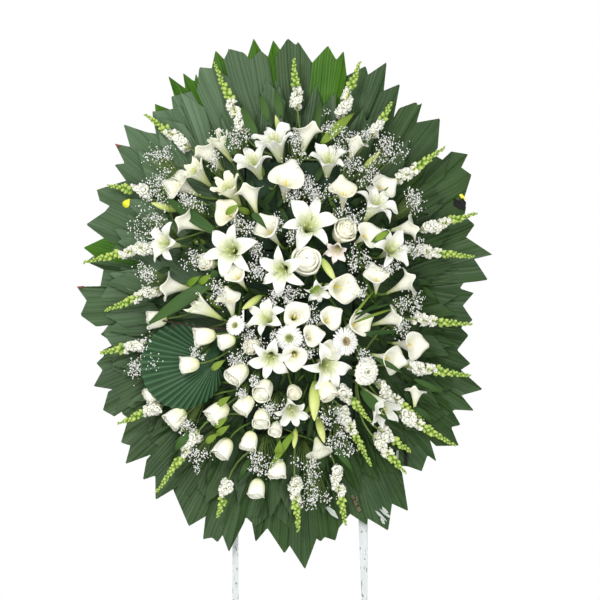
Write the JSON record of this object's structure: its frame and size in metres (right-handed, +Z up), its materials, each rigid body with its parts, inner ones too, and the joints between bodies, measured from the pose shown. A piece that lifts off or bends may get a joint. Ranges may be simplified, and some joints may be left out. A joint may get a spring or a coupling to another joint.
{
  "type": "standing funeral wreath",
  "caption": "Oval funeral wreath of white lilies, callas, roses and trimmed palm leaves on a leaning timber easel with folding rear legs.",
  "frame": {"origin": "on the floor, under the middle of the object's box", "axes": "+Z up, the flowers face -Y, +X to the viewer's right"},
  "size_m": [1.18, 0.7332, 1.9433],
  "materials": {
    "white_timber": "chalky white paint worn off at the edges of rough sawn battens",
    "zinc": "zinc plated pressed steel",
    "palm_leaf": "satin fresh palm leaf with fine parallel pleats",
    "fan_leaf": "satin dark green pleated fan leaf",
    "lily": "soft white petals with a yellow-green throat",
    "calla": "smooth creamy white spathe, yellow-green at the base",
    "rose": "soft layered creamy white petals",
    "gerbera": "white ray petals round a green or tan eye",
    "snapdragon": "white florets below yellow-green buds",
    "foam": "matte water-soaked dark green foam",
    "black_plastic": "matte black plastic"
  },
  "bodies": {
    "easel": {"upright_left": "white_timber", "upright_right": "white_timber", "rail_upper": "white_timber", "rail_lower": "white_timber", "rail_hinged": "white_timber", "hinge_leaf_fixed": "zinc", "hinge_pin": "zinc", "palm_leaf_01": "palm_leaf", "palm_leaf_02": "palm_leaf", "palm_leaf_03": "palm_leaf", "palm_leaf_04": "palm_leaf", "palm_leaf_05": "palm_leaf", "palm_leaf_06": "palm_leaf", "palm_leaf_07": "palm_leaf", "palm_leaf_08": "palm_leaf", "palm_leaf_09": "palm_leaf", "palm_leaf_10": "palm_leaf", "palm_leaf_11": "palm_leaf", "palm_leaf_12": "palm_leaf", "palm_leaf_13": "palm_leaf", "palm_leaf_14": "palm_leaf", "palm_leaf_15": "palm_leaf", "palm_leaf_16": "palm_leaf", "palm_leaf_17": "palm_leaf", "palm_leaf_18": "palm_leaf", "palm_leaf_19": "palm_leaf", "fan_palm_leaf": "fan_leaf", "snapdragon_bunch_1": "snapdragon", "snapdragon_bunch_2": "snapdragon", "snapdragon_bunch_3": "snapdragon", "snapdragon_bunch_4": "snapdragon", "snapdragon_bunch_5": "snapdragon", "snapdragon_bunch_6": "snapdragon", "lily_stem_1": "lily", "lily_stem_2": "lily", "lily_stem_3": "lily", "lily_stem_4": "lily", "lily_stem_5": "lily", "lily_stem_6": "lily", "lily_stem_7": "lily", "calla_bunch_1": "calla", "calla_bunch_2": "calla", "calla_bunch_3": "calla", "calla_bunch_4": "calla", "calla_bunch_5": "calla", "calla_bunch_6": "calla", "calla_bunch_7": "calla", "rose_bunch_1": "rose", "rose_bunch_2": "rose", "rose_bunch_3": "rose", "gerbera_bunch": "gerbera", "foam_block_1": "foam", "foam_block_2": "foam", "foam_block_3": "foam", "foam_tray": "black_plastic", "backing_board": "white_timber"},
    "rear_prop": {"rear_leg_left": "white_timber", "rear_leg_right": "white_timber", "rear_bar": "white_timber", "hinge_leaf_moving": "zinc"}
  },
  "joints": [
    {"name": "rear_legs_fold", "type": "hinge", "parent": "easel", "child": "rear_prop", "pos_m": [0.041, -0.01094, 1.30349], "axis": [1, 0, 0], "range_deg": [-25, 0]}
  ]
}
